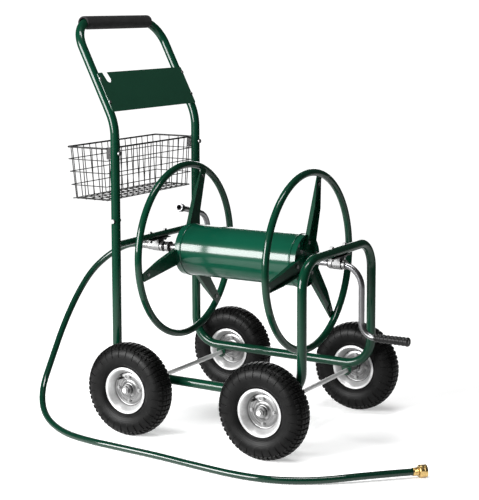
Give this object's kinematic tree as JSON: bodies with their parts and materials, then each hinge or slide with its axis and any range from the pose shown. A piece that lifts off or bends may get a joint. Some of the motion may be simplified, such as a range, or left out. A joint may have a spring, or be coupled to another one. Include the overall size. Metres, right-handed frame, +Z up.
{
  "type": "garden hose reel cart",
  "caption": "Four-wheeled steel tube cart carrying a crank-turned hose reel, with a push handle, wire tool basket, water inlet swivel and a short leader hose with brass coupling",
  "frame": {"origin": "on the floor, under the centre of the box of everything except the leader hose, its end fitting and its nut", "axes": "+X towards the crank end along the reel shaft, +Z up, +Y to the right for someone at the crank end looking towards the handle"},
  "size_m": [1.1711, 0.7464, 1.1314],
  "materials": {
    "frame_tube": "glossy dark green powder coat",
    "drum_sheet": "glossy dark green powder coat on sheet",
    "foam": "matte charcoal foam",
    "plated_steel": "bright zinc plating",
    "basket_wire": "satin black coated wire",
    "black_plastic": "moulded black plastic",
    "chrome": "bright chrome plating",
    "hose_green": "glossy dark green vinyl hose",
    "brass": "machined brass",
    "tyre_rubber": "black rubber with moulded tread",
    "tube_rubber": "black butyl",
    "rim_steel": "zinc plated pressed steel"
  },
  "bodies": {
    "cart": {"left_side_frame": "frame_tube", "right_side_frame": "frame_tube", "front_hoop": "frame_tube", "rear_cross_tube": "frame_tube", "handle_tube": "frame_tube", "foam_grip": "foam", "back_plate": "frame_tube", "plate_screws": "plated_steel", "leg_bolts": "plated_steel", "axle_brackets": "frame_tube", "front_axle": "plated_steel", "rear_axle": "plated_steel", "axle_spacers": "plated_steel", "axle_nuts": "plated_steel", "basket_rim": "basket_wire", "basket_long_walls": "basket_wire", "basket_end_walls": "basket_wire", "basket_floor": "basket_wire", "basket_clips": "black_plastic", "bearing_bolts": "plated_steel", "front_bearing": "plated_steel", "rear_bearing": "plated_steel", "bearing_bushes": "black_plastic", "swivel_body": "plated_steel", "hose_ferrule": "brass", "leader_hose": "hose_green", "hose_tail": "brass"},
    "reel": {"rear_ring": "frame_tube", "front_ring": "frame_tube", "rear_spokes": "frame_tube", "front_spokes": "frame_tube", "drum": "drum_sheet", "drum_ends": "drum_sheet", "reel_bolts": "plated_steel", "reel_shaft": "plated_steel", "outlet_pipe": "chrome", "crank_arm": "chrome"},
    "hand_grip": {"crank_grip": "black_plastic"},
    "nut": {"coupling_nut": "brass"},
    "front_left_wheel": {"front_left_tyre": "tyre_rubber", "front_left_inner_tube": "tube_rubber", "front_left_rims": "rim_steel", "front_left_bearings": "rim_steel", "front_left_rim_bolts": "plated_steel"},
    "front_right_wheel": {"front_right_tyre": "tyre_rubber", "front_right_inner_tube": "tube_rubber", "front_right_rims": "rim_steel", "front_right_bearings": "rim_steel", "front_right_rim_bolts": "plated_steel"},
    "rear_left_wheel": {"rear_left_tyre": "tyre_rubber", "rear_left_inner_tube": "tube_rubber", "rear_left_rims": "rim_steel", "rear_left_bearings": "rim_steel", "rear_left_rim_bolts": "plated_steel"},
    "rear_right_wheel": {"rear_right_tyre": "tyre_rubber", "rear_right_inner_tube": "tube_rubber", "rear_right_rims": "rim_steel", "rear_right_bearings": "rim_steel", "rear_right_rim_bolts": "plated_steel"}
  },
  "joints": [
    {"name": "reel_spin", "type": "hinge", "parent": "cart", "child": "reel", "pos_m": [-0.021, 0, 0.4725], "axis": [1, 0, 0], "continuous": true},
    {"name": "crank_grip_spin", "type": "hinge", "parent": "reel", "child": "hand_grip", "pos_m": [0.42, 0, 0.285], "axis": [1, 0, 0], "continuous": true},
    {"name": "front_left_spin", "type": "hinge", "parent": "cart", "child": "front_left_wheel", "pos_m": [0.1887, -0.269, 0.127], "axis": [0, 1, 0], "continuous": true},
    {"name": "front_right_spin", "type": "hinge", "parent": "cart", "child": "front_right_wheel", "pos_m": [0.1887, 0.269, 0.127], "axis": [0, 1, 0], "continuous": true},
    {"name": "rear_left_spin", "type": "hinge", "parent": "cart", "child": "rear_left_wheel", "pos_m": [-0.2287, -0.269, 0.127], "axis": [0, 1, 0], "continuous": true},
    {"name": "rear_right_spin", "type": "hinge", "parent": "cart", "child": "rear_right_wheel", "pos_m": [-0.2287, 0.269, 0.127], "axis": [0, 1, 0], "continuous": true},
    {"name": "coupling_spin", "type": "hinge", "parent": "cart", "child": "nut", "pos_m": [0.59023, -0.19594, 0.0164], "axis": [0.7113, 0.7029, 0], "continuous": true}
  ]
}
